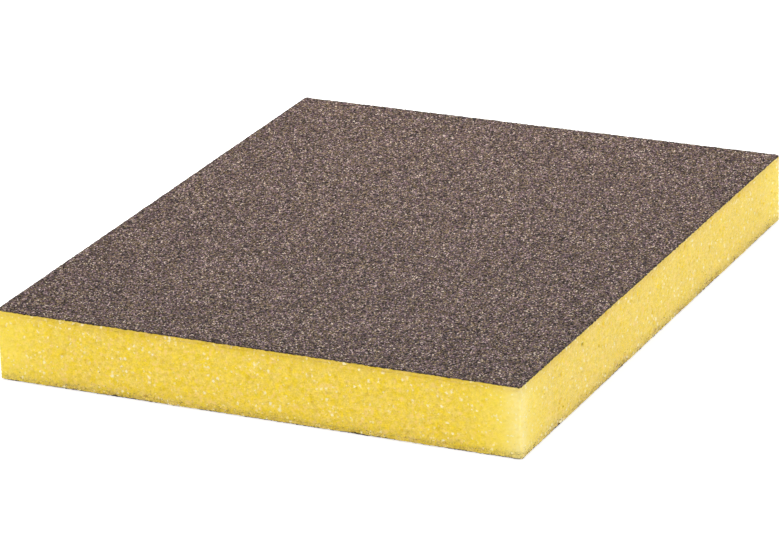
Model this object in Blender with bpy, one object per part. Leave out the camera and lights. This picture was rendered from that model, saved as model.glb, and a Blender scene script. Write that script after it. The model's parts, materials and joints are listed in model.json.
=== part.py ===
"""Double-sided sanding block: a soft foam slab with an abrasive face on each broad side.

Metres, +Z up. The origin is the centre of the underside, +X runs along the long side and
+Y along the short side. The five layers share one outline, because the finished block is
cut from a coated sheet in one go. From the bench up they are

    bottom_grit_coat, bottom_bond_coat, foam_core, top_bond_coat, top_grit_coat

The two top coats hang on the empty "press_slide", whose Z axis is the direction in which
the foam gives under a hand.
"""

import bmesh
import bpy

# Driving dimensions, in metres
LENGTH = 0.120
WIDTH = 0.098
THICKNESS = 0.013
GRIT_THICKNESS = 0.0004
BOND_THICKNESS = 0.0002
LAYER_GAP = 0.0003
CORNER_RADIUS = 0.0005

CORNER_SEGMENTS = 4
COLLECTION_NAME = "sanding_block"

# What follows from them
BOTTOM_BOND_FLOOR = GRIT_THICKNESS + LAYER_GAP
FOAM_FLOOR = BOTTOM_BOND_FLOOR + BOND_THICKNESS + LAYER_GAP
FOAM_THICKNESS = THICKNESS - 2 * FOAM_FLOOR
FOAM_TOP = FOAM_FLOOR + FOAM_THICKNESS
TOP_BOND_FLOOR = FOAM_TOP + LAYER_GAP
TOP_GRIT_FLOOR = TOP_BOND_FLOOR + BOND_THICKNESS + LAYER_GAP

# Finishes: linear colour and roughness
FOAM_FINISH = ((0.870, 0.650, 0.130), 0.85)
BOND_FINISH = ((0.305, 0.170, 0.040), 0.60)
GRIT_FINISH = ((0.159, 0.117, 0.105), 0.80)


def clear_scene():
    """Remove every object, so that only the block is left."""
    for obj in list(bpy.data.objects):
        bpy.data.objects.remove(obj, do_unlink=True)


def make_collection(name):
    """Add a collection to the scene and return it."""
    collection = bpy.data.collections.new(name)
    bpy.context.scene.collection.children.link(collection)
    return collection


def make_material(name, finish):
    """Return a Principled material with the finish's colour and roughness, and no metal."""
    colour, roughness = finish
    material = bpy.data.materials.new(name)
    material.use_nodes = True
    shader = material.node_tree.nodes["Principled BSDF"]
    shader.inputs["Base Color"].default_value = (*colour, 1.0)
    shader.inputs["Roughness"].default_value = roughness
    shader.inputs["Metallic"].default_value = 0.0
    material.diffuse_color = (*colour, 1.0)
    return material


def slab_mesh(name, thickness):
    """Return a slab of the block's outline, standing on Z = 0, with its upright edges rounded."""
    shape = bmesh.new()
    bmesh.ops.create_cube(shape, size=1.0)
    bmesh.ops.translate(shape, verts=shape.verts, vec=(0.0, 0.0, 0.5))
    bmesh.ops.scale(shape, verts=shape.verts, vec=(LENGTH, WIDTH, thickness))
    upright = [
        edge for edge in shape.edges if abs(edge.verts[0].co.z - edge.verts[1].co.z) > thickness / 2
    ]
    bmesh.ops.bevel(
        shape,
        geom=upright,
        offset=CORNER_RADIUS,
        segments=CORNER_SEGMENTS,
        profile=0.5,
        affect="EDGES",
    )
    mesh = bpy.data.meshes.new(name)
    shape.to_mesh(mesh)
    shape.free()
    mesh.shade_smooth()
    mesh.set_sharp_from_angle(angle=0.6)
    return mesh


def add_layer(collection, name, thickness, floor, material, carrier=None):
    """Add one layer of the block, with its underside at the height `floor`.

    A layer that moves when the block is pressed is parented to its carrier.
    """
    layer = bpy.data.objects.new(name, slab_mesh(name, thickness))
    layer.data.materials.append(material)
    layer.location = (0.0, 0.0, floor)
    if carrier:
        layer.parent = carrier
        layer.location.z -= carrier.location.z
    collection.objects.link(layer)
    return layer


def add_press_slide(collection):
    """Add the empty that carries the upper face. It stands where the foam meets that face."""
    slide = bpy.data.objects.new("press_slide", None)
    slide.location = (0.0, 0.0, FOAM_TOP)
    slide.empty_display_type = "SINGLE_ARROW"
    slide.empty_display_size = THICKNESS
    collection.objects.link(slide)
    return slide


def add_foam_core(collection):
    """The slab of flexible open-celled foam that everything is bonded to."""
    material = make_material("foam_yellow", FOAM_FINISH)
    add_layer(collection, "foam_core", FOAM_THICKNESS, FOAM_FLOOR, material)


def add_bond_coats(collection, press_slide):
    """The flexible resin coats that seal the foam's cells and hold the grit."""
    material = make_material("bond_amber", BOND_FINISH)
    add_layer(collection, "bottom_bond_coat", BOND_THICKNESS, BOTTOM_BOND_FLOOR, material)
    add_layer(collection, "top_bond_coat", BOND_THICKNESS, TOP_BOND_FLOOR, material, press_slide)


def add_grit_coats(collection, press_slide):
    """The coats of abrasive grain, which are the block's two working faces."""
    material = make_material("grit_brown", GRIT_FINISH)
    add_layer(collection, "bottom_grit_coat", GRIT_THICKNESS, 0.0, material)
    add_layer(collection, "top_grit_coat", GRIT_THICKNESS, TOP_GRIT_FLOOR, material, press_slide)


def main():
    """Build the block from the bench up."""
    clear_scene()
    collection = make_collection(COLLECTION_NAME)
    press_slide = add_press_slide(collection)
    add_foam_core(collection)
    add_bond_coats(collection, press_slide)
    add_grit_coats(collection, press_slide)


main()
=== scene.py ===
"""Looks of a double-sided sanding block: a slab of foam with an abrasive face on each side.

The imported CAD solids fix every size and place. Each layer's plain solid is replaced by a
surface worked out with numpy: cut foam cells on the sides, resin-soaked skins above and
below them, and a coat of sharp grains on both broad faces. Lengths are in metres.
"""

import json
import logging
import math
from dataclasses import dataclass, field
from enum import Enum
from typing import Any

import bpy
import numpy as np
import numpy.typing as npt
from mathutils import Matrix, Vector

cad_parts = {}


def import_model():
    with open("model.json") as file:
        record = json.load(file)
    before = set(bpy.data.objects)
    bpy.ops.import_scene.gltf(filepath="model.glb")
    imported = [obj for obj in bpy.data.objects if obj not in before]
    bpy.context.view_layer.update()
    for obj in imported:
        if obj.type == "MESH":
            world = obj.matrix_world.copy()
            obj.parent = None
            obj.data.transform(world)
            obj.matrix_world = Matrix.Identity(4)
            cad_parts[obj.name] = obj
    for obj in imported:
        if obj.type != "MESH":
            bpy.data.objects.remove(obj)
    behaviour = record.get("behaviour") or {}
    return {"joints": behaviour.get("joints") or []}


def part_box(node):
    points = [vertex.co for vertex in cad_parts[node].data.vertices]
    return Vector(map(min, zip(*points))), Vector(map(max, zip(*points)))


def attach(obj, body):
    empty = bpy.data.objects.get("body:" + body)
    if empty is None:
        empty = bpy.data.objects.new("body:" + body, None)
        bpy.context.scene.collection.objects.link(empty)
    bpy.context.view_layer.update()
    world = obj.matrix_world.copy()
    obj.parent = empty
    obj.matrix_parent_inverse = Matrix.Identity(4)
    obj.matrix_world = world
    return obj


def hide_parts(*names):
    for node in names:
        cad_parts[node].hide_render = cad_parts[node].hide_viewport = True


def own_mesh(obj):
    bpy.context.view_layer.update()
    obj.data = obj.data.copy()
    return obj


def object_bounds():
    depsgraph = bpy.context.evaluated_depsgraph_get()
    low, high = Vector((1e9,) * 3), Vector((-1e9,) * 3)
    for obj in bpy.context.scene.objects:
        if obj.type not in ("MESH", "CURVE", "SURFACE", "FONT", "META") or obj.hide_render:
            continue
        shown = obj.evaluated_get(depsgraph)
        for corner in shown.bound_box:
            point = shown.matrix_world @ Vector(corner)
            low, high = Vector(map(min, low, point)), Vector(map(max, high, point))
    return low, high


frame: dict[str, Any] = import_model()
CAD_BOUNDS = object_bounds()

FloatArray = npt.NDArray[np.float64]
IntArray = npt.NDArray[np.int64]
Colour = tuple[float, float, float]
Span = tuple[float, float]
Socket = bpy.types.NodeSocket
Material = bpy.types.Material

MM = 0.001
CREASE = math.radians(70.0)
PRESS_JOINT = "foam_press"
log = logging.getLogger("sanding_block")


class Side(Enum):
    """A broad face of the block, with the sign of its outward normal along Z."""

    TOP = 1
    BOTTOM = -1

    @property
    def label(self) -> str:
        """The word that begins the names of this side's nodes and pieces."""
        return self.name.lower()

    @property
    def body(self) -> str:
        """The CAD body that carries this side's coats."""
        return "upper_face" if self is Side.TOP else "lower_face"


def tint(red: float, green: float, blue: float) -> Colour:
    """Turn a displayed colour into the linear values that shaders take, by the sRGB curve.

    Args:
        red: Red as displayed, from 0 to 255.
        green: Green, in the same way.
        blue: Blue, in the same way.

    Returns:
        The linear colour.
    """
    shares = [value / 255.0 for value in (red, green, blue)]
    linear = [s / 12.92 if s <= 0.04045 else ((s + 0.055) / 1.055) ** 2.4 for s in shares]
    return (linear[0], linear[1], linear[2])


def add_object(name: str, data: bpy.types.ID) -> bpy.types.Object:
    """Add an object that shows this data to the scene, at the origin."""
    thing = bpy.data.objects.new(name, data)
    bpy.context.scene.collection.objects.link(thing)
    return thing


def toward(azimuth: float, elevation: float) -> Vector:
    """Return the unit vector at an azimuth from -Y towards +X and an elevation, in radians."""
    level = math.cos(elevation)
    return Vector((math.sin(azimuth) * level, -math.cos(azimuth) * level, math.sin(elevation)))


# --- Shapes shared by the layers ---


@dataclass(frozen=True)
class Outline:
    """The block's rounded rectangle, seen from above.

    Attributes:
        length, width: Sizes along X and Y.
        radius: Radius of the four upright edges.
    """

    length: float
    width: float
    radius: float

    @property
    def perimeter(self) -> float:
        """Length of the whole outline: four straight sides and one full circle."""
        straight = 2.0 * (self.length + self.width - 4.0 * self.radius)
        return straight + 2.0 * math.pi * self.radius

    def follow(self, run: FloatArray) -> tuple[FloatArray, FloatArray, FloatArray]:
        """Find points along the outline, anticlockwise from the +X side.

        Each quarter of it is a straight side and then a quarter circle. The point is that
        circle's centre, slid back along the side until the side is used up, plus the radius
        along the outward normal, which turns only on the arc.

        Args:
            run: Distances along the outline.

        Returns:
            Points, outward normals, and distances along the outline from the middle of the
            nearest rounded edge.
        """
        sides = np.array([self.width, self.length, self.width, self.length]) - 2.0 * self.radius
        reaches = np.array([self.length, self.width, self.length, self.width]) / 2.0
        arc = 0.5 * math.pi * self.radius
        ends = np.cumsum(sides + arc)
        quarter = np.minimum(np.searchsorted(ends, run, side="right"), 3)
        side = sides[quarter]
        into = run - (ends[quarter] - side - arc)
        heading = quarter * 0.5 * math.pi
        turned = heading + np.clip(into - side, 0.0, arc) / self.radius
        across = np.stack([np.cos(heading), np.sin(heading)], axis=-1)
        along = np.stack([-np.sin(heading), np.cos(heading)], axis=-1)
        normals = np.stack([np.cos(turned), np.sin(turned)], axis=-1)
        slide = np.minimum(into, side) - side / 2.0
        centres = across * (reaches[quarter] - self.radius)[..., None] + along * slide[..., None]
        to_edge = np.minimum(np.abs(into - side - arc / 2.0), into + arc / 2.0)
        return centres + self.radius * normals, normals, to_edge


@dataclass(frozen=True)
class CellField:
    """Foam cells cut open by the block's side, scattered over its strip of run and height.

    Attributes:
        spacing: Mean distance between the centres of neighbouring cells.
        seed: Seed of the scatter.
    """

    spacing: float
    seed: int

    def measure(
        self, run: FloatArray, height: FloatArray, perimeter: float
    ) -> tuple[FloatArray, FloatArray]:
        """Measure where points lie in their cells.

        Each square of a grid that closes on itself holds one centre at a random place. The
        distance to the second nearest centre less that to the nearest, among the nine
        squares round a point, is zero on the wall between two cells.

        Args:
            run: Distances along the outline.
            height: Heights above the underside.
            perimeter: Length of the outline.

        Returns:
            That difference as a share of the spacing, and a random number for each cell.
        """
        columns = round(perimeter / self.spacing)
        step = perimeter / columns
        rows = int(height.max() / self.spacing) + 5
        scatter = np.random.default_rng(self.seed).random((columns, rows, 3))
        column = np.floor(run / step).astype(int)
        row = np.floor(height / self.spacing).astype(int)
        nearest = np.full(run.shape, np.inf)
        second = np.full(run.shape, np.inf)
        chance = np.zeros(run.shape)
        for shift in np.ndindex(3, 3):
            c = column + shift[0] - 1
            r = row + shift[1] - 1
            cell = scatter[c % columns, r + 2]
            gap_run = (c + cell[..., 0]) * step - run
            gap_height = (r + cell[..., 1]) * self.spacing - height
            distance = np.hypot(gap_run, gap_height)
            closer = distance < nearest
            second = np.where(closer, nearest, np.minimum(second, distance))
            chance = np.where(closer, cell[..., 2], chance)
            nearest = np.where(closer, distance, nearest)
        return (second - nearest) / self.spacing, chance


def smooth_step(low: float, high: float, values: FloatArray) -> FloatArray:
    """Rise from 0 at low to 1 at high along the cubic 3t^2 - 2t^3, and stay level outside."""
    t = np.clip((values - low) / (high - low), 0.0, 1.0)
    return t * t * (3.0 - 2.0 * t)


def ripple(run: FloatArray, perimeter: float, lengths: FloatArray, seed: int) -> FloatArray:
    """Add up sine waves that close on themselves round the outline, each with a random phase.

    Args:
        run: Distances along the outline.
        perimeter: Length of the outline.
        lengths: Wavelengths, which give way a little for a whole number of periods.
        seed: Seed of the phases.

    Returns:
        The sum at each point, with a spread of about 1.
    """
    turns = np.round(perimeter / lengths)
    phases = np.random.default_rng(seed).random(len(lengths)) * 2.0 * math.pi
    angles = 2.0 * math.pi * run[..., None] / perimeter * turns + phases
    return np.sin(angles).sum(axis=-1) * math.sqrt(2.0 / len(lengths))


def random_turns(count: int, source: np.random.Generator) -> FloatArray:
    """Make random rotation matrices from unit quaternions with a normal spread.

    Args:
        count: How many.
        source: Where the numbers come from.

    Returns:
        An array of count matrices of 3 by 3.
    """
    q = source.normal(size=(count, 4))
    w, x, y, z = (q / np.linalg.norm(q, axis=1, keepdims=True)).T
    rows = [
        [1 - 2 * (y * y + z * z), 2 * (x * y - z * w), 2 * (x * z + y * w)],
        [2 * (x * y + z * w), 1 - 2 * (x * x + z * z), 2 * (y * z - x * w)],
        [2 * (x * z - y * w), 2 * (y * z + x * w), 1 - 2 * (x * x + y * y)],
    ]
    return np.moveaxis(np.array(rows), 2, 0)


@dataclass
class Surface:
    """A closed surface in arrays, ready to be put into a mesh.

    Attributes:
        points: Vertices, one row each.
        faces: Arrays of faces, with one row of vertex numbers for each face.
        smooth: Whether the faces are shaded smooth.
        notes: Named numbers on the vertices that a finish reads.
    """

    points: FloatArray
    faces: list[IntArray]
    smooth: bool = True
    notes: dict[str, FloatArray] = field(default_factory=dict)

    def flipped(self) -> "Surface":
        """Return the surface turned inside out."""
        return Surface(self.points, [f[:, ::-1] for f in self.faces], self.smooth, self.notes)

    def to_object(self, name: str) -> bpy.types.Object:
        """Put the surface into a new object at the origin.

        A smooth surface keeps the edges that turn by more than CREASE sharp.

        Args:
            name: Name of the object and of its mesh.

        Returns:
            The object, linked to the scene.
        """
        corners = np.concatenate([f.ravel() for f in self.faces])
        sizes = np.concatenate([np.full(len(f), f.shape[1]) for f in self.faces])
        mesh = bpy.data.meshes.new(name)
        mesh.vertices.add(len(self.points))
        mesh.vertices.foreach_set("co", self.points.astype(np.float32).ravel())
        mesh.loops.add(len(corners))
        mesh.loops.foreach_set("vertex_index", corners.astype(np.int32))
        mesh.polygons.add(len(sizes))
        mesh.polygons.foreach_set("loop_start", (np.cumsum(sizes) - sizes).astype(np.int32))
        mesh.update(calc_edges=True)
        mesh.polygons.foreach_set("use_smooth", np.full(len(sizes), self.smooth))
        if self.smooth:
            mesh.set_sharp_from_angle(angle=CREASE)
        for note, values in self.notes.items():
            layer = mesh.attributes.new(note, "FLOAT", "POINT")
            layer.data.foreach_set("value", values.astype(np.float32).ravel())
        mesh.validate()
        return add_object(name, mesh)

    def to_piece(self, name: str, side: Side, slot: str, finish: Material) -> bpy.types.Object:
        """Put the surface into a new piece of the block.

        Args:
            name: Name of the piece.
            side: Whose body it moves with.
            slot: Name of its material slot in the CAD's record. It is not used.
            finish: Its material.

        Returns:
            The piece.
        """
        piece = self.to_object(name)
        piece.data.materials.append(finish)
        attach(piece, side.body)
        return piece


def grid_faces(number: IntArray) -> IntArray:
    """Join a grid of vertex numbers, with X growing by column and Y by row, with faces up."""
    corners = [number[:-1, :-1], number[:-1, 1:], number[1:, 1:], number[1:, :-1]]
    return np.stack(corners, axis=-1).reshape(-1, 4)


def ring_faces(rings: int, around: int) -> IntArray:
    """Join rings of vertices, numbered ring by ring, with faces that point outwards.

    Args:
        rings: Number of rings, which run anticlockwise and rise.
        around: Vertices in each ring.

    Returns:
        One row of four vertex numbers for each face.
    """
    low = np.arange((rings - 1) * around).reshape(rings - 1, around)
    right = np.roll(low, -1, axis=1)
    return np.stack([low, right, right + around, low + around], axis=-1).reshape(-1, 4)


def fan_faces(ring: IntArray, hub: int) -> IntArray:
    """Close an anticlockwise ring of vertex numbers with triangles to a hub, which face up."""
    return np.stack([ring, np.roll(ring, -1), np.full(len(ring), hub)], axis=-1)


@dataclass(frozen=True)
class FoamCut:
    """How a saw leaves the foam's sides: open cells, torn pores and a slight wave.

    Attributes:
        outline: The block's outline.
        cells, pores: The small cells, and larger, sparser pores.
        pore_rare: Share of the pores that are closed, and don't show.
        cell_depth: How deep the deepest cell goes.
        cell_least: Share of that depth that the shallowest cell has.
        pore_depth: How deep a pore goes.
        wave_depth, wave_lengths: Height and lengths of the slow waves along the outline.
        step: Distance between vertices.
        painted_glow_reach: How far from an upright edge the painted light, a paler foam colour,
            reaches.
        painted_glow_far: Share of that painted light at the three edges away from the -X and -Y
            sides.
        nick: X and height of the small hole torn in the -Y side.
        nick_reach, nick_depth: Half of its height, and its depth. It is twice as wide as high.
        nick_floor: Share of its reach over which it is at its deepest.
        cell_slope, pore_slope: Shares of the spacing between which a cell or pore gets deeper.
        wave_seed: Seed of the waves.
    """

    outline: Outline
    cells: CellField = CellField(0.42 * MM, 11)
    pores: CellField = CellField(1.30 * MM, 12)
    pore_rare: float = 0.86
    cell_depth: float = 0.16 * MM
    cell_least: float = 0.45
    pore_depth: float = 0.22 * MM
    wave_depth: float = 0.05 * MM
    wave_lengths: tuple[float, ...] = (9.0 * MM, 14.0 * MM, 23.0 * MM, 41.0 * MM)
    step: float = 0.155 * MM
    painted_glow_reach: float = 2.7 * MM
    painted_glow_far: float = 0.05
    nick: tuple[float, float] = (-34.0 * MM, 10.7 * MM)
    nick_reach: float = 0.36 * MM
    nick_depth: float = 0.50 * MM
    nick_floor: float = 0.3
    cell_slope: Span = (0.02, 0.55)
    pore_slope: Span = (0.25, 0.75)
    wave_seed: int = 13

    def band(self, floor: float, top: float) -> Surface:
        """Shape a slab between two heights, with cut cells round its side.

        A vertex starts on the outline and moves inwards along the normal: by its cell's
        depth, by the pore depth in the few open pores, by the waves, and by the depth of the
        one torn hole. All of it depends only on the run and the height, so slabs that lie on
        one another meet with the same shape.

        Args:
            floor: Height of the underside.
            top: Height of the upper side.

        Returns:
            The closed slab, with the notes "pit", "nick", "glow" and "rise".
        """
        around = round(self.outline.perimeter / self.step)
        rows = max(3, round((top - floor) / self.step) + 1)
        run = np.arange(around) * self.outline.perimeter / around
        height = np.linspace(floor, top, rows)
        spot, normal, to_edge = self.outline.follow(run)
        runs, heights = np.meshgrid(run, height)
        wall, chance = self.cells.measure(runs, heights, self.outline.perimeter)
        pore_wall, pore_chance = self.pores.measure(runs, heights, self.outline.perimeter)
        depths = self.cell_least + (1.0 - self.cell_least) * chance
        pit = smooth_step(*self.cell_slope, wall) * depths
        pore = smooth_step(*self.pore_slope, pore_wall) * (pore_chance > self.pore_rare)
        waves = ripple(run, self.outline.perimeter, np.array(self.wave_lengths), self.wave_seed)
        gap = np.hypot((spot[:, 0] - self.nick[0]) / 2.0, heights - self.nick[1])
        deepest = self.nick_floor * self.nick_reach
        nick = smooth_step(self.nick_reach, deepest, gap) * (normal[:, 1] < -0.5)
        inward = self.cell_depth * pit + self.pore_depth * pore + self.wave_depth * (1.0 + waves)
        inward = inward + self.nick_depth * nick
        level = spot - normal * inward[..., None]
        points = np.concatenate([level, heights[..., None]], axis=-1).reshape(-1, 3)
        hubs = np.array([[0.0, 0.0, floor], [0.0, 0.0, top]])
        last = rows * around
        faces = [
            ring_faces(rows, around),
            fan_faces(np.arange(around), last)[:, ::-1],
            fan_faces(np.arange(last - around, last), last + 1),
        ]
        # Painted light: the foam is painted paler and brighter beside the upright edges. It is full
        # at the edge between the -X and -Y sides and a small share at the other three.
        share = np.where((spot[:, 0] < 0.0) & (spot[:, 1] < 0.0), 1.0, self.painted_glow_far)
        glow = np.broadcast_to(share * np.exp(-((to_edge / self.painted_glow_reach) ** 2)), runs.shape)
        ends = np.zeros(2)
        notes = {
            "pit": np.append(np.maximum(pit, pore), ends),
            "nick": np.append(nick, ends),
            "glow": np.append(glow, ends),
            "rise": np.append(heights, ends),
        }
        return Surface(np.concatenate([points, hubs]), faces, notes=notes)


# --- Finishes ---


@dataclass(frozen=True)
class Blotches:
    """One layer of soft blotches in a finish.

    Attributes:
        size: Width of a blotch.
        low, high: Noise that counts as none and as full. With low above high, gaps count.
        seed: Where the noise is cut from its fourth dimension.
        weight: How strong the layer is.
    """

    size: float
    low: float
    high: float
    seed: float
    weight: float


class Graph:
    """A material's nodes, with one short method for each kind that the finishes use."""

    def __init__(self, name: str) -> None:
        """Start a material with a Principled shader.

        Args:
            name: Name of the material.
        """
        self.material = bpy.data.materials.new(name)
        self.material.use_nodes = True
        self.nodes = self.material.node_tree.nodes
        self.shader = self.nodes["Principled BSDF"]
        self.place = self.add("TexCoord", {}).outputs["Object"]

    def feed(self, target: Socket, value: Any) -> None:
        """Link a socket to an input, or set the input to a plain value.

        Args:
            target: The input.
            value: A socket, a number, a vector, or a colour without its alpha.
        """
        if isinstance(value, Socket):
            self.material.node_tree.links.new(value, target)
        elif isinstance(value, tuple):
            target.default_value = (*value, 1.0)[: len(target.default_value)]
        else:
            target.default_value = value

    def add(self, kind: str, inputs: dict[str | int, Any], **settings: Any) -> bpy.types.Node:
        """Add a node.

        Args:
            kind: Its type, without the words that every shader node's type begins with.
            inputs: What its inputs get, by name or number.
            settings: Its settings.

        Returns:
            The node.
        """
        node = self.nodes.new(f"ShaderNode{kind}")
        for name, value in settings.items():
            setattr(node, name, value)
        for key, value in inputs.items():
            self.feed(node.inputs[key], value)
        return node

    def set(self, **values: Any) -> None:
        """Feed the shader's inputs, named with underscores for spaces.

        Args:
            values: What each input gets.
        """
        for name, value in values.items():
            words = name.replace("_", " ")
            socket = next(s for s in self.shader.inputs if s.name.lower() == words)
            self.feed(socket, value)

    def note(self, name: str) -> Socket:
        """Return the named number that the mesh carries."""
        return self.add("Attribute", {}, attribute_name=name).outputs["Fac"]

    def noise(self, size: float, detail: float, seed: float) -> bpy.types.Node:
        """Return smooth noise with blotches of this size, cut from its fourth dimension."""
        inputs = {"Vector": self.place, "W": seed, "Scale": 1.0 / size, "Detail": detail}
        return self.add("TexNoise", inputs, noise_dimensions="4D")

    def blotches(self, layer: Blotches) -> Socket:
        """Return noise with its contrast raised, times the layer's weight."""
        noise = self.noise(layer.size, detail=3.0, seed=layer.seed).outputs["Fac"]
        return self.times(self.span(noise, layer.low, layer.high), layer.weight)

    def warped(self, size: float, reach: float) -> Socket:
        """Return the place, pushed about by noise, which makes what is laid there ragged.

        Args:
            size: Width of a blotch of the noise.
            reach: How far apart the smallest and the largest push are, along each axis.

        Returns:
            The place plus the noise's three numbers times the reach.
        """
        push = self.noise(size, detail=2.0, seed=0.0).outputs["Color"]
        inputs = {0: push, 1: (reach, reach, reach), 2: self.place}
        return self.add("VectorMath", inputs, operation="MULTIPLY_ADD").outputs["Vector"]

    def cells(self, size: float, place: Socket | None = None) -> bpy.types.Node:
        """Return Voronoi cells of about this width, looked up at the place if it is given."""
        return self.add("TexVoronoi", {"Vector": place or self.place, "Scale": 1.0 / size})

    def channels(self, colour: Socket) -> tuple[Socket, ...]:
        """Split a colour into its three numbers."""
        return tuple(self.add("SeparateColor", {"Color": colour}).outputs)

    def work(self, operation: str, first: Any, second: Any) -> Socket:
        """Return the result of an operation, as Blender names it, kept between 0 and 1."""
        inputs = {0: first, 1: second}
        return self.add("Math", inputs, operation=operation, use_clamp=True).outputs[0]

    def times(self, first: Any, second: Any) -> Socket:
        """Return the product of two numbers."""
        return self.work("MULTIPLY", first, second)

    def less(self, first: Any, second: Any) -> Socket:
        """Return the first number less the second."""
        return self.work("SUBTRACT", first, second)

    def pile(self, start: Any, *layers: Any) -> Socket:
        """Add up numbers, kept between 0 and 1.

        Args:
            start: What the sum starts from.
            layers: What is added.

        Returns:
            The sum.
        """
        total = start
        for layer in layers:
            total = self.work("ADD", total, layer)
        return total

    def span(self, value: Any, low: Any, high: Any) -> Socket:
        """Return 0 at low, 1 at high and a smooth rise between them."""
        inputs = {"Value": value, "From Min": low, "From Max": high}
        return self.add("MapRange", inputs, interpolation_type="SMOOTHSTEP").outputs["Result"]

    def mix(self, share: Any, first: Any, second: Any) -> Socket:
        """Blend two colours, with this share of the second."""
        inputs = {"Factor": share, 6: first, 7: second}
        return self.add("Mix", inputs, data_type="RGBA").outputs[2]

    def steps(self, value: Any, stops: tuple[tuple[float, Colour], ...]) -> Socket:
        """Return the colour whose stop is the last at or below the value.

        Args:
            value: A number from 0 to 1.
            stops: Positions and colours, in rising order.

        Returns:
            The colour.
        """
        node = self.add("ValToRGB", {"Fac": value})
        ramp = node.color_ramp
        ramp.interpolation = "CONSTANT"
        while len(ramp.elements) < len(stops):
            ramp.elements.new(1.0)
        for element, (position, colour) in zip(ramp.elements, stops, strict=True):
            element.position = position
            element.color = (*colour, 1.0)
        return node.outputs["Color"]

    def relief(self, height: Any, depth: float, strength: float) -> Socket:
        """Bump the normal by a height from 0 to 1, where 1 stands for the depth."""
        inputs = {"Distance": depth, "Strength": strength, "Height": height}
        return self.add("Bump", inputs).outputs["Normal"]


@dataclass(frozen=True)
class Films:
    """Films left across some cells, painted as glints: ragged spots of many sizes, in loose
    clusters.

    Attributes:
        spacing: Distance between places where a film may be.
        rare: Share of these places that stay empty.
        weight: How strongly the thickest film shows.
        thinnest: Share of that strength that the thinnest film has.
        reach: Largest half width of a film, as a share of the spacing.
        lonely: Share of that width that is left far from the clusters.
        clusters: Where the clusters are.
        rag: Size of the tatters round a film.
        stray: How far a tatter strays, as a share of the spacing.
        solid: Share of a film's half width that is at full strength.
        shortest: Half widths between which films come in. Smaller ones are left out.
    """

    spacing: float
    rare: float
    weight: float
    thinnest: float = 0.45
    reach: float = 0.50
    lonely: float = 0.50
    clusters: Blotches = Blotches(2.6 * MM, 0.42, 0.60, 6.0, 0.50)
    rag: float = 0.30 * MM
    stray: float = 0.90
    solid: float = 0.40
    shortest: Span = (0.02, 0.12)

    def lay(self, graph: Graph) -> Socket:
        """Lay the films, each as wide as chance and the clusters make it.

        Args:
            graph: The material's nodes.

        Returns:
            How much film there is, from 0 to the weight.
        """
        cells = graph.cells(self.spacing, graph.warped(self.rag, self.stray * self.spacing))
        thick, chance, _ = graph.channels(cells.outputs["Color"])
        crowd = graph.pile(self.lonely, graph.blotches(self.clusters))
        reach = graph.times(graph.span(chance, self.rare, 1.0), self.reach)
        reach = graph.times(reach, crowd)
        inside = graph.span(cells.outputs["Distance"], reach, graph.times(reach, self.solid))
        inside = graph.times(inside, graph.span(reach, *self.shortest))
        strength = graph.pile(self.thinnest, graph.times(thick, 1.0 - self.thinnest))
        return graph.times(graph.times(inside, strength), self.weight)


@dataclass(frozen=True)
class Specks:
    """Small stray dark specks.

    Attributes:
        spacing: Distance between places where a speck may be.
        rare: Share of these places that stay empty.
        reach: Largest half width of a speck, as a share of the spacing.
        blur: Width of a speck's soft edge, as the same share.
        weight: How dark the specks are.
    """

    spacing: float = 0.62 * MM
    rare: float = 0.72
    reach: float = 0.26
    blur: float = 0.04
    weight: float = 0.40

    def lay(self, graph: Graph) -> Socket:
        """Lay the specks.

        Args:
            graph: The material's nodes.

        Returns:
            How dark each place is, from 0 to the weight.
        """
        cells = graph.cells(self.spacing)
        chance = graph.channels(cells.outputs["Color"])[0]
        reach = graph.times(graph.span(chance, self.rare, 1.0), self.reach)
        inside = graph.span(cells.outputs["Distance"], graph.pile(reach, self.blur), reach)
        return graph.times(inside, self.weight)


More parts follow.
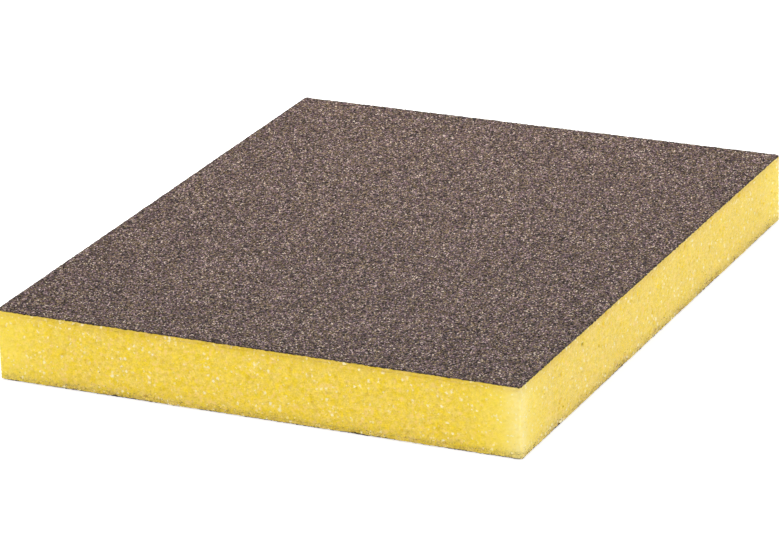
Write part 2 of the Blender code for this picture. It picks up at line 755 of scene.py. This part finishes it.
@dataclass(frozen=True)
class FoamFinish:
    """Yellow flexible foam: deep yellow with paler torn walls, films painted as glints, painted
    light and shade, and two darker rims.

    Attributes:
        name: Name of the material.
        deep, wall: Colours of plain foam, and of the cells' torn walls where they lie thick.
        shade, hole_painted_shade: Painted shade inside the cells and in dark blotches, and painted
            shade inside the torn-out hole.
        glow: Painted light beside the upright edges, which stands for light that comes through the
            foam from two sides.
        lit: Painted light, a brighter yellow, over the wider stretch beside them.
        blush, lime: Colours of warm and of cool patches.
        film_painted_glint, speck: Near-white colour of the films, a painted glint, and colour of
            the specks.
        upper_tint: Darker, more orange colour that the foam takes on towards the upper coat.
        dust_and_shade: Colour of the lower rim's grit dust and painted shade.
        pale_least, pale: Least paleness, and the blotches that add to it.
        pit_full, pit_dark: Depth from which a cell is darkest, and share of the painted shade
            there.
        dark: Blotches of the painted shade.
        warm, cool: Warm and cool patches.
        painted_light_share: Share of that wider painted light's colour at the edge itself.
        painted_light_power: How slowly that painted light fades: the painted glow is raised to this
            power.
        painted_glow_least, painted_glow_patches: Least share of the painted glow's colour, and what
            adds to it.
        upper_tint_share, upper_tint_rise: Share of that colour, and heights between which it grows.
        dust_and_shade_least, dust_and_shade_patches: Least share of that colour, and the patches
        that add to it.
        dust_and_shade_fall: Heights between which that colour grows, downwards.
        specks, faint_painted_glints, bright_films_with_painted_glints: Where the specks and the
        films' painted glints are. Only the bright films also shine.
        dull, film_gloss: Roughness of bare foam, and how much less rough a film is.
        crumb: Width of the smallest cells, which only the bump shows.
    """

    name: str = "foam_yellow"
    deep: Colour = tint(252, 219, 10)
    wall: Colour = tint(250, 221, 124)
    shade: Colour = tint(206, 172, 22)
    hole_painted_shade: Colour = tint(96, 78, 30)
    glow: Colour = tint(252, 233, 152)
    lit: Colour = tint(255, 229, 84)
    blush: Colour = tint(250, 211, 138)
    lime: Colour = tint(226, 208, 66)
    film_painted_glint: Colour = tint(255, 246, 208)
    speck: Colour = tint(184, 140, 44)
    upper_tint: Colour = tint(208, 168, 58)
    dust_and_shade: Colour = tint(124, 106, 74)
    pale_least: float = 0.04
    pale: tuple[Blotches, ...] = (
        Blotches(0.75 * MM, 0.38, 0.64, 1.0, 0.42),
        Blotches(1.60 * MM, 0.40, 0.62, 2.0, 0.26),
        Blotches(4.50 * MM, 0.38, 0.66, 3.0, 0.10),
    )
    pit_full: float = 0.80
    pit_dark: float = 0.14
    dark: tuple[Blotches, ...] = (
        Blotches(0.26 * MM, 0.62, 0.38, 9.0, 0.32),
        Blotches(1.00 * MM, 0.62, 0.40, 10.0, 0.18),
    )
    warm: Blotches = Blotches(0.75 * MM, 0.52, 0.70, 4.0, 0.55)
    cool: Blotches = Blotches(0.80 * MM, 0.54, 0.72, 5.0, 0.40)
    painted_light_share: float = 0.70
    painted_light_power: float = 0.12
    painted_glow_least: float = 0.55
    painted_glow_patches: Blotches = Blotches(0.60 * MM, 0.36, 0.64, 7.0, 0.42)
    upper_tint_share: float = 0.22
    upper_tint_rise: Span = (10.2 * MM, 12.4 * MM)
    dust_and_shade_least: float = 0.10
    dust_and_shade_patches: Blotches = Blotches(0.27 * MM, 0.42, 0.62, 8.0, 0.40)
    dust_and_shade_fall: Span = (3.5 * MM, 0.1 * MM)
    specks: Specks = Specks()
    faint_painted_glints: Films = Films(0.66 * MM, 0.27, 0.54)
    bright_films_with_painted_glints: Films = Films(0.88 * MM, 0.40, 1.00)
    dull: float = 0.90
    film_gloss: float = 0.45
    crumb: float = 0.21 * MM

    def base(self, graph: Graph) -> Socket:
        """Colour the foam itself: pale blotches, painted shade in the cells and in dark blotches,
        and warm and cool patches.

        Args:
            graph: The material's nodes.

        Returns:
            The colour.
        """
        pale = graph.pile(self.pale_least, *(graph.blotches(layer) for layer in self.pale))
        colour = graph.mix(pale, self.deep, self.wall)
        # Painted shade: the deeper a cut cell, the more of the shade colour, plus random dark
        # blotches of it.
        pit = graph.times(graph.span(graph.note("pit"), 0.0, self.pit_full), self.pit_dark)
        dark = graph.pile(pit, *(graph.blotches(layer) for layer in self.dark))
        colour = graph.mix(dark, colour, self.shade)
        colour = graph.mix(graph.blotches(self.warm), colour, self.blush)
        return graph.mix(graph.blotches(self.cool), colour, self.lime)

    def edges(self, graph: Graph, colour: Any) -> Socket:
        """Paint light beside the upright edges, and paint shade into the torn-out hole.

        Args:
            graph: The material's nodes.
            colour: The colour so far.

        Returns:
            The tinted colour.
        """
        glow = graph.note("glow")
        # Painted light: a wide, faint stretch of brighter yellow, then the narrower, paler painted
        # glow at the edge itself.
        wide = graph.times(graph.work("POWER", glow, self.painted_light_power), self.painted_light_share)
        colour = graph.mix(wide, colour, self.lit)
        patchy = graph.pile(self.painted_glow_least, graph.blotches(self.painted_glow_patches))
        colour = graph.mix(graph.times(glow, patchy), colour, self.glow)
        # Painted shade inside the torn-out hole.
        return graph.mix(graph.note("nick"), colour, self.hole_painted_shade)

    def rims(self, graph: Graph, colour: Any) -> Socket:
        """Tint the upper rim darker and more orange, and darken the lower one with the grit's dust
        and painted shade.

        Args:
            graph: The material's nodes.
            colour: The colour so far.

        Returns:
            The tinted colour.
        """
        rise = graph.note("rise")
        # The foam is darker and more orange towards the upper coat.
        upper_tint = graph.times(graph.span(rise, *self.upper_tint_rise), self.upper_tint_share)
        colour = graph.mix(upper_tint, colour, self.upper_tint)
        # The lower rim darkens downwards, in patches: the grit's dust and painted shade.
        low = graph.span(rise, *self.dust_and_shade_fall)
        patchy_dust_and_shade = graph.pile(self.dust_and_shade_least, graph.blotches(self.dust_and_shade_patches))
        return graph.mix(graph.times(graph.times(low, low), patchy_dust_and_shade), colour, self.dust_and_shade)

    def make(self) -> Material:
        """Build the material, which is dull but for its films and lets a little light in."""
        graph = Graph(self.name)
        colour = self.edges(graph, self.base(graph))
        colour = graph.mix(self.specks.lay(graph), colour, self.speck)
        colour = self.rims(graph, colour)
        # Painted highlights: the cells' films are painted near white as glints, and the bright ones
        # are also less rough.
        colour = graph.mix(self.faint_painted_glints.lay(graph), colour, self.film_painted_glint)
        film_painted_glint = self.bright_films_with_painted_glints.lay(graph)
        colour = graph.mix(film_painted_glint, colour, self.film_painted_glint)
        graph.set(
            base_color=colour,
            roughness=graph.less(self.dull, graph.times(film_painted_glint, self.film_gloss)),
            specular_ior_level=0.3,
            subsurface_weight=0.08,
            subsurface_scale=1.0 * MM,
            subsurface_radius=(1.0, 0.62, 0.18),
            sheen_weight=0.90,
            sheen_roughness=0.45,
            sheen_tint=tint(255, 246, 214),
            normal=graph.relief(
                graph.cells(self.crumb).outputs["Distance"], depth=0.08 * MM, strength=0.6
            ),
        )
        return graph.material


@dataclass(frozen=True)
class SkinFinish(FoamFinish):
    """Foam full of resin, as the bond coats show it at the rims: deeper and a little darker."""

    name: str = "resin_amber"
    deep: Colour = tint(243, 210, 16)
    upper_tint_share: float = 0.30


@dataclass(frozen=True)
class GritFinish:
    """Brown fused grains of many shades in dark resin, with a few clean bright facets.

    Attributes:
        name: Name of the material.
        grain: Width of a grain.
        resin: Colour between the grains.
        shades: Where each shade of grain begins, from 0 to 1, and its colour.
        gap, gap_resin_and_shade: Distances from a grain's middle between which the resin begins to
        show, and the share of its colour there: dark resin, and painted shade between grains.
        clouds: Wide blotches with more resin.
        rim_dark: Share of the resin's colour at the coat's rim.
        crags: Roughness of the grains' own faces.
        tip: Share of the grains' own shape in the bump.
        rough, rough_spread: Least roughness of a grain, and how much rougher it can be.
    """

    name: str = "grit_brown"
    grain: float = 0.25 * MM
    resin: Colour = tint(22, 15, 13)
    shades: tuple[tuple[float, Colour], ...] = (
        (0.00, tint(22, 15, 14)),
        (0.19, tint(54, 40, 34)),
        (0.35, tint(87, 65, 71)),
        (0.51, tint(110, 90, 64)),
        (0.67, tint(134, 106, 113)),
        (0.80, tint(162, 140, 108)),
        (0.905, tint(192, 166, 166)),
        (0.965, tint(232, 214, 194)),
    )
    gap: Span = (0.40, 0.75)
    gap_resin_and_shade: float = 0.70
    clouds: Blotches = Blotches(4.5 * MM, 0.30, 0.70, 1.0, 0.12)
    rim_dark: float = 0.55
    crags: Blotches = Blotches(0.16 * MM, 0.30, 0.70, 2.0, 0.20)
    tip: float = 0.80
    rough: float = 0.45
    rough_spread: float = 0.40

    def make(self) -> Material:
        """Build the material: Voronoi cells as grains, with resin between them and at the rim."""
        graph = Graph(self.name)
        grains = graph.cells(self.grain)
        middle = grains.outputs["Distance"]
        shade, gloss, _ = graph.channels(grains.outputs["Color"])
        colour = graph.steps(shade, self.shades)
        # Resin between the grains, dark in itself and painted darker still as shade between them.
        gap = graph.times(graph.span(middle, *self.gap), self.gap_resin_and_shade)
        colour = graph.mix(gap, colour, self.resin)
        colour = graph.mix(graph.blotches(self.clouds), colour, self.resin)
        colour = graph.mix(graph.times(graph.note("rim"), self.rim_dark), colour, self.resin)
        tips = graph.times(graph.less(1.0, middle), self.tip)
        graph.set(
            base_color=colour,
            roughness=graph.pile(self.rough, graph.times(gloss, self.rough_spread)),
            specular_ior_level=0.15,
            normal=graph.relief(
                graph.pile(tips, graph.blotches(self.crags)), depth=0.10 * MM, strength=0.7
            ),
        )
        return graph.material


@dataclass(frozen=True)
class SharpFinish(GritFinish):
    """Single grains that stand clear of the resin, each of one shade with chipped facets.

    Attributes:
        chips, chip_dark: The chips in the facets, and share of the resin's colour there.
    """

    name: str = "grit_sharp"
    chips: Blotches = Blotches(0.08 * MM, 0.40, 0.62, 1.0, 1.0)
    chip_dark: float = 0.30
    rough: float = 0.28

    def make(self) -> Material:
        """Build the material, whose shade is the note that each grain carries."""
        graph = Graph(self.name)
        colour = graph.steps(graph.note("shade"), self.shades)
        chips = graph.blotches(self.chips)
        colour = graph.mix(graph.times(chips, self.chip_dark), colour, self.resin)
        graph.set(
            base_color=colour,
            roughness=graph.pile(self.rough, graph.times(chips, self.rough_spread)),
            specular_ior_level=0.30,
            normal=graph.relief(chips, depth=0.02 * MM, strength=0.5),
        )
        return graph.material


@dataclass(frozen=True)
class DustPaintedBounceFinish(SharpFinish):
    """Stray grains half sunk in the foam: brown, with painted yellow light from the foam that warms
    their shades.
    """

    name: str = "grit_dust_painted_bounce"
    # Brown resin and grains, warmed with painted yellow light from the foam.
    resin: Colour = tint(54, 38, 18)
    shades: tuple[tuple[float, Colour], ...] = (
        (0.00, tint(58, 42, 24)),
        (0.25, tint(92, 68, 38)),
        (0.50, tint(126, 96, 54)),
        (0.72, tint(152, 122, 80)),
        (0.90, tint(196, 166, 122)),
    )


@dataclass(frozen=True)
class FloorFinish:
    """White studio floor, lit from below like a light table.

    Attributes:
        name: Name of the material.
        white, whiter: Its colour, and that of wide blotches that are a shade lighter.
        blotch: Width of these.
        lit: How bright it is from below.
    """

    name: str = "floor_white"
    white: Colour = (0.68, 0.68, 0.68)
    whiter: Colour = (0.70, 0.70, 0.70)
    blotch: float = 0.4
    lit: float = 0.64

    def make(self) -> Material:
        """Build the material."""
        graph = Graph(self.name)
        share = graph.noise(self.blotch, detail=2.0, seed=0.0).outputs["Fac"]
        graph.set(
            base_color=graph.mix(share, self.white, self.whiter),
            roughness=0.9,
            specular_ior_level=0.1,
            emission_color=(1.0, 1.0, 1.0),
            emission_strength=self.lit,
        )
        return graph.material


# --- Layers of the block ---


@dataclass
class FoamCore:
    """The slab of flexible foam.

    Attributes:
        cut: How its sides were cut.
        floor, top: Heights of its underside and upper side.
        travel: How far the upper face comes down when the block is pressed. It is not used.
    """

    cut: FoamCut
    floor: float
    top: float
    travel: float

    def build(self, finish: Material) -> bpy.types.Object:
        """Make the slab, which stands for the CAD's foam, with a mesh of its own.

        Args:
            finish: The foam's material.

        Returns:
            The slab.
        """
        slab = self.cut.band(self.floor, self.top)
        piece = slab.to_piece("foam_slab", Side.BOTTOM, "foam", finish)
        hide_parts("foam_core")
        self.squeeze(piece)
        return piece

    def squeeze(self, piece: bpy.types.Object) -> None:
        """Give a piece its own copy of its mesh.

        Args:
            piece: The foam, or something stuck to its side.
        """
        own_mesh(piece)


@dataclass
class BondCoat:
    """Resin-soaked skin between the foam and a coat of grit.

    Attributes:
        side: Which face it belongs to.
        cut: How its rim was cut.
        floor, top: Heights of its underside and upper side.
    """

    side: Side
    cut: FoamCut
    floor: float
    top: float

    def build(self, finish: Material) -> bpy.types.Object:
        """Make the skin, which stands for this side's bond coat.

        Args:
            finish: The resin's material.

        Returns:
            The skin.
        """
        skin = self.cut.band(self.floor, self.top)
        piece = skin.to_piece(f"{self.side.label}_resin_skin", self.side, "bond", finish)
        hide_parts(f"{self.side.label}_bond_coat")
        return piece


@dataclass
class GritCoat:
    """Coat of sharp grains on one broad face.

    Attributes:
        side: Which face it is.
        outline: The block's outline.
        inner: Height of the coat's flat inner side.
        outer: Mean height of its rough outer side.
        inset: How far the whole coat stops short of the outline.
        pitch: Distance between neighbouring grains' tips.
        relief: Half of the height between the lowest and the highest tips.
        ragged: How far the rim wanders in and out, and its lower edge up and down.
        stain_reach: How far from the rim the coat is darker.
        wander, droop: Least and most that the rim goes outwards, as shares of the
            raggedness across the face and of the relief along Z.
        hem: Least and most that its inner edge goes outwards along Z, as such shares.
        shelf: How far inwards the flat inner side begins, as such a share.
        seed: Seed of the scatter.
    """

    side: Side
    outline: Outline
    inner: float
    outer: float
    inset: float
    pitch: float = 0.352 * MM
    relief: float = 0.08 * MM
    ragged: float = 0.10 * MM
    stain_reach: float = 0.30 * MM
    wander: Span = (-1.0, 0.4)
    droop: Span = (-1.0, 0.2)
    hem: Span = (-0.8, 0.9)
    shelf: float = 3.0
    seed: int = 31

    def sheet(self, source: np.random.Generator) -> FloatArray:
        """Lay the rough outer side as a grid of rows.

        The rows stretch in X to the half length that the rounded corners leave at their Y:
        half the length, less the radius, plus the height of a circle of that radius. Every
        inner point then moves at random by up to a third of the pitch across the face and by
        up to the relief along Z.

        Args:
            source: Where the random numbers come from.

        Returns:
            The points, by row, column and axis.
        """
        length = self.outline.length - 2.0 * self.inset
        width = self.outline.width - 2.0 * self.inset
        radius = self.outline.radius
        across = np.linspace(-1.0, 1.0, round(length / self.pitch) + 1)
        y = np.linspace(-0.5, 0.5, round(width / self.pitch) + 1) * width
        past = np.clip(np.abs(y) - (width / 2.0 - radius), 0.0, None)
        bulge = np.sqrt(np.clip(radius**2 - past**2, 0.0, None))
        x = (length / 2.0 - radius + bulge)[:, None] * across
        height = np.full(x.shape, self.side.value * self.outer)
        points = np.stack([x, np.broadcast_to(y[:, None], x.shape), height], axis=-1)
        shift = source.uniform(-1.0, 1.0, points.shape)
        shift *= np.array([self.pitch / 3.0, self.pitch / 3.0, self.relief])
        shift[[0, -1]] = 0.0
        shift[:, [0, -1]] = 0.0
        return points + shift

    def surface(self) -> Surface:
        """Shape the coat.

        The sheet's rim wanders in and out. Below it hangs a ring with a ragged lower edge,
        and a third ring further in leads to the flat inner side.

        Returns:
            The closed coat, with the note "rim", which falls from 1 at the rim inwards.
        """
        source = np.random.default_rng(self.seed)
        sign = float(self.side.value)
        sheet = self.sheet(source)
        rows, columns = sheet.shape[:2]
        number = np.arange(rows * columns).reshape(rows, columns)
        rim = np.concatenate(
            [number[0, :-1], number[:-1, -1], number[-1, :0:-1], number[:0:-1, 0]]
        )
        flat = sheet.reshape(-1, 3)
        reach = np.array([self.outline.length, self.outline.width]) / 2.0 - self.inset
        depth = np.clip((reach - np.abs(flat[:, :2])).min(axis=1), 0.0, None)
        stain = np.exp(-depth / self.stain_reach)

        outward = flat[rim, :2] / np.linalg.norm(flat[rim, :2], axis=1, keepdims=True)
        flat[rim, :2] += outward * self.ragged * source.uniform(*self.wander, (len(rim), 1))
        flat[rim, 2] += sign * self.relief * source.uniform(*self.droop, len(rim))
        hem = flat[rim].copy()
        hem[:, 2] = sign * (self.inner + self.ragged * source.uniform(*self.hem, len(rim)))
        inner = flat[rim].copy()
        inner[:, :2] -= outward * self.shelf * self.ragged
        inner[:, 2] = sign * self.inner
        hub = np.array([[0.0, 0.0, sign * self.inner]])
        low = len(flat) + np.arange(len(rim))
        lower = low + len(rim)
        faces = [
            grid_faces(number),
            np.stack([low, np.roll(low, -1), np.roll(rim, -1), rim], axis=-1),
            np.stack([lower, np.roll(lower, -1), np.roll(low, -1), low], axis=-1),
            fan_faces(lower, len(flat) + 2 * len(rim))[:, ::-1],
        ]
        note = np.concatenate([stain, np.ones(2 * len(rim)), np.zeros(1)])
        points = np.concatenate([flat, hem, inner, hub])
        whole = Surface(points, faces, smooth=False, notes={"rim": note})
        return whole if self.side is Side.TOP else whole.flipped()

    def build(self, middle: float, finish: Material) -> bpy.types.Object:
        """Make the coat, which stands for this side's grit coat.

        Args:
            middle: Height of the block's middle, from which the coat's heights are counted.
            finish: The grit's material.

        Returns:
            The coat.
        """
        coat = self.surface()
        coat.points[:, 2] += middle
        piece = coat.to_piece(f"{self.side.label}_grain_coat", self.side, "grit", finish)
        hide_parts(f"{self.side.label}_grit_coat")
        return piece


@dataclass(kw_only=True)
class Grains:
    """Single grains, each an octahedron with its corners pushed in and out.

    Attributes:
        side: Which coat they belong to.
        outline: The block's outline.
        count: How many grains there are.
        least, most: Smallest and largest half width of a grain.
        stretch: Least and most by which a corner is pushed in or out.
        sunk: Range of small random shifts of their middles, out of the level they lie in.
        place: Word for where they sit, for the piece's name.
        seed: Seed of the scatter.
    """

    side: Side
    outline: Outline
    count: int
    least: float
    most: float
    stretch: Span = (0.6, 1.15)
    sunk: Span
    place: str
    seed: int

    def centres(self, source: np.random.Generator) -> FloatArray:
        """Place the grains: one random point for each."""
        raise NotImplementedError

    def surface(self) -> Surface:
        """Shape the grains.

        Each corner of an octahedron is scaled at random, and the whole is turned at random
        and moved to its centre.

        Returns:
            Separate closed shapes, with the note "shade", a random number for each grain.
        """
        source = np.random.default_rng(self.seed + self.side.value)
        centre = self.centres(source)
        corners = np.array(
            [[1, 0, 0], [-1, 0, 0], [0, 1, 0], [0, -1, 0], [0, 0, 1], [0, 0, -1]], float
        )
        size = source.uniform(self.least, self.most, (self.count, 1, 1))
        shape = corners * source.uniform(*self.stretch, (self.count, 6, 1)) * size
        turned = np.einsum("nij,nkj->nki", random_turns(self.count, source), shape)
        points = (turned + centre[:, None]).reshape(-1, 3)
        facets = np.array(
            [[0, 2, 4], [2, 1, 4], [1, 3, 4], [3, 0, 4], [2, 0, 5], [1, 2, 5], [3, 1, 5], [0, 3, 5]]
        )
        faces = (facets + 6 * np.arange(self.count)[:, None, None]).reshape(-1, 3)
        shade = np.repeat(source.uniform(0.0, 1.0, self.count), 6)
        return Surface(points, [faces], smooth=False, notes={"shade": shade})

    def build(self, finish: Material) -> bpy.types.Object:
        """Make the grains of this material."""
        name = f"{self.side.label}_{self.place}_grains"
        return self.surface().to_piece(name, self.side, "grit", finish)


@dataclass(kw_only=True)
class RimGrains(Grains):
    """Loose grains that cling to the cut foam beside a coat of grit.

    Attributes:
        rim: Height of the coat's inner side.
        spread: How fast they thin out away from the coat: each such step leaves a third.
    """

    rim: float
    spread: float = 0.55 * MM
    count: int = 3800
    least: float = 0.035 * MM
    most: float = 0.085 * MM
    sunk: Span = (0.02 * MM, 0.12 * MM)
    place: str = "rim"
    seed: int = 51

    def centres(self, source: np.random.Generator) -> FloatArray:
        """Place the grains just under the foam's side, at exponential distances from the coat."""
        run = source.uniform(0.0, self.outline.perimeter, self.count)
        spot, normal, _ = self.outline.follow(run)
        spot = spot - normal * source.uniform(*self.sunk, self.count)[:, None]
        away = source.exponential(self.spread, self.count)
        return np.column_stack([spot, self.rim - self.side.value * away])


@dataclass(kw_only=True)
class ProudGrains(Grains):
    """Sharp grains that stand clear of a coat's resin, all over its face.

    Attributes:
        level: Mean height of the grains' middles.
        inset: How far the coat stops short of the outline.
        margin: How far the grains stay inside the coat's rim.
    """

    level: float
    inset: float
    margin: float = 0.15 * MM
    count: int = 24000
    least: float = 0.06 * MM
    most: float = 0.13 * MM
    sunk: Span = (-0.03 * MM, 0.03 * MM)
    place: str = "proud"
    seed: int = 61

    def centres(self, source: np.random.Generator) -> FloatArray:
        """Place the grains evenly over the face, at slightly different heights."""
        reach = np.array([self.outline.length, self.outline.width]) / 2.0
        spot = source.uniform(-1.0, 1.0, (self.count, 2)) * (reach - self.inset - self.margin)
        return np.column_stack([spot, self.level + source.uniform(*self.sunk, self.count)])


# --- Studio ---


@dataclass(frozen=True)
class Camera:
    """The camera, aimed at the block from above its nearest upright edge.

    Attributes:
        azimuth: Direction of the camera round the block, in degrees from -Y towards +X.
        elevation: Degrees above the horizon.
        roll: Turn about the line of sight, in degrees.
        distance: Distance from the point that it is aimed at.
        lens, sensor: Focal length and sensor width in millimetres.
        aside, above: How far that point is from the block's middle, to the right and upwards.
        nearest: Distance from which things are drawn.
    """

    azimuth: float = -64.10
    elevation: float = 21.06
    roll: float = -1.977
    distance: float = 0.7699
    lens: float = 199.08
    sensor: float = 36.0
    aside: float = -0.00263
    above: float = -0.00246
    nearest: float = 0.01

    def build(self, target: Vector) -> None:
        """Make the camera and hand it to the scene.

        Args:
            target: The block's middle.
        """
        turn, tilt, roll = (math.radians(a) for a in (self.azimuth, self.elevation, self.roll))
        back = toward(turn, tilt)
        right = Vector((math.cos(turn), math.sin(turn), 0.0))
        up = back.cross(right)
        aim = target + right * self.aside + up * self.above
        rolled_right = right * math.cos(roll) + up * math.sin(roll)
        rolled_up = up * math.cos(roll) - right * math.sin(roll)
        axes = Matrix((rolled_right, rolled_up, back)).transposed().to_4x4()
        data = bpy.data.cameras.new("studio_camera")
        data.lens = self.lens
        data.sensor_width = self.sensor
        data.clip_start = self.nearest
        camera = add_object("studio_camera", data)
        camera.matrix_world = Matrix.Translation(aim + back * self.distance) @ axes
        bpy.context.scene.camera = camera


@dataclass(frozen=True)
class Softbox:
    """A square area light that faces the block and is itself out of sight.

    Attributes:
        name: Name of the light.
        azimuth, elevation: Where it stands, in degrees, as for the camera.
        distance: Distance from the block.
        size: Side of the square.
        power: Power in watts.
    """

    name: str
    azimuth: float
    elevation: float
    distance: float
    size: float
    power: float

    def build(self, target: Vector) -> None:
        """Make the light.

        Args:
            target: What it faces.
        """
        back = toward(math.radians(self.azimuth), math.radians(self.elevation))
        data = bpy.data.lights.new(self.name, "AREA")
        data.size = self.size
        data.energy = self.power
        light = add_object(self.name, data)
        light.visible_camera = False
        light.location = target + back * self.distance
        light.rotation_euler = back.to_track_quat("Z", "Y").to_euler()


@dataclass
class Studio:
    """White room with soft light.

    Attributes:
        room: Brightness of the white walls.
        floor_side: Side of the square floor.
        floor_drop: How far the floor is below the bench's level, clear of the lowest grains.
        floor_ticks: Points along each side of its grid.
        lights: The softboxes.
    """

    room: float = 0.48
    floor_side: float = 6.0
    floor_drop: float = 0.02 * MM
    floor_ticks: int = 9
    lights: tuple[Softbox, ...] = (
        Softbox("key_light", -110.0, 45.0, 1.3, 0.6, 3.3),
        Softbox("fill_light", -10.0, 37.0, 1.4, 0.8, 5.0),
        Softbox("top_light", 116.0, 62.0, 0.22, 0.18, 0.45),
    )

    def build(self, target: Vector) -> None:
        """Make the floor, the walls' light and the softboxes.

        Args:
            target: The block's middle.
        """
        world = bpy.data.worlds.new("white_room")
        world.use_nodes = True
        background = world.node_tree.nodes["Background"]
        background.inputs["Color"].default_value = (1.0, 1.0, 1.0, 1.0)
        background.inputs["Strength"].default_value = self.room
        scene = bpy.context.scene
        scene.world = world
        scene.view_settings.view_transform = "Standard"
        self.build_floor()
        for light in self.lights:
            light.build(target)

    def build_floor(self) -> None:
        """Lay the floor just under the block: a flat square grid of points."""
        ticks = np.linspace(-0.5, 0.5, self.floor_ticks) * self.floor_side
        x, y = np.meshgrid(ticks, ticks)
        points = np.stack([x, y, np.full(x.shape, -self.floor_drop)], axis=-1).reshape(-1, 3)
        number = np.arange(x.size).reshape(x.shape)
        floor = Surface(points, [grid_faces(number)]).to_object("studio_floor")
        floor.data.materials.append(FloorFinish().make())


# --- The whole block ---


@dataclass
class SandingBlock:
    """The block, from its lower coat to its upper one.

    Attributes:
        length, width, height: Sizes along X, Y and Z.
        bond_line: Height of the foam's lower side, from the CAD's lower bond coat.
        travel: How far the upper face moves when the block is pressed.
        radius: Radius of the upright edges.
        trim: How far the cut foam stays inside the CAD outline.
        grit_inner, grit_outer: Distances from a broad face to the inner side of its grains
            and to the mean height of their tips.
        join: Gap between neighbouring layers.
        lower_inset: How far the lower coat of grains stops short of the side.
    """

    length: float
    width: float
    height: float
    bond_line: float
    travel: float
    radius: float = 0.5 * MM
    trim: float = 0.05 * MM
    grit_inner: float = 0.24 * MM
    grit_outer: float = 0.10 * MM
    join: float = 0.01 * MM
    lower_inset: float = 0.16 * MM

    @classmethod
    def from_frame(cls) -> "SandingBlock":
        """Read the block's sizes from the CAD nodes and the press joint."""
        low, high = CAD_BOUNDS
        bond_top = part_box("bottom_bond_coat")[1][2]
        press = next(j for j in frame["joints"] if j["name"] == PRESS_JOINT)
        size = [float(b - a) for a, b in zip(low, high, strict=True)]
        return cls(*size, bond_line=float(bond_top), travel=float(press["range_m"][1]))

    def build(self) -> None:
        """Build every layer, and report each."""
        outline = Outline(self.length - 2.0 * self.trim, self.width - 2.0 * self.trim, self.radius)
        cut = FoamCut(outline)
        foam = FoamCore(cut, self.bond_line, self.height - self.bond_line, self.travel)
        report(foam.build(FoamFinish().make()))
        finishes = (SkinFinish().make(), GritFinish().make(), SharpFinish().make())
        self.build_side(Side.TOP, cut, foam.top, *finishes)
        self.build_side(Side.BOTTOM, cut, foam.floor, *finishes)
        grains = RimGrains(side=Side.BOTTOM, outline=outline, rim=self.grit_inner)
        stray = grains.build(DustPaintedBounceFinish().make())
        foam.squeeze(stray)
        report(stray)

    def build_side(
        self,
        side: Side,
        cut: FoamCut,
        foam_face: float,
        skin_finish: Material,
        grit_finish: Material,
        sharp_finish: Material,
    ) -> None:
        """Build the two coats of one broad face, and the grains that stand clear of it.

        Args:
            side: Which face it is.
            cut: How the sides were cut.
            foam_face: Height of the foam's face on that side.
            skin_finish: Material of the resin skin.
            grit_finish: Material of the coat of grains.
            sharp_finish: Material of single grains.
        """
        half = self.height / 2.0
        near = foam_face + side.value * self.join
        far = half + side.value * (half - self.grit_inner - self.join)
        report(BondCoat(side, cut, min(near, far), max(near, far)).build(skin_finish))
        inset = self.lower_inset if side is Side.BOTTOM else 0.0
        coat = GritCoat(side, cut.outline, half - self.grit_inner, half - self.grit_outer, inset)
        report(coat.build(half, grit_finish))
        proud = ProudGrains(
            side=side,
            outline=cut.outline,
            level=half + side.value * (half - self.grit_outer),
            inset=inset,
        )
        report(proud.build(sharp_finish))


def report(piece: bpy.types.Object) -> None:
    """Log a finished piece with its number of faces."""
    log.info("%s: %d faces", piece.name, len(piece.data.polygons))


def main() -> None:
    """Build the block and its studio."""
    logging.basicConfig(level=logging.INFO, format="%(name)s: %(message)s")
    block = SandingBlock.from_frame()
    middle = Vector((0.0, 0.0, block.height / 2.0))
    Camera().build(middle)
    Studio().build(middle)
    block.build()


if __name__ == "__main__":
    main()
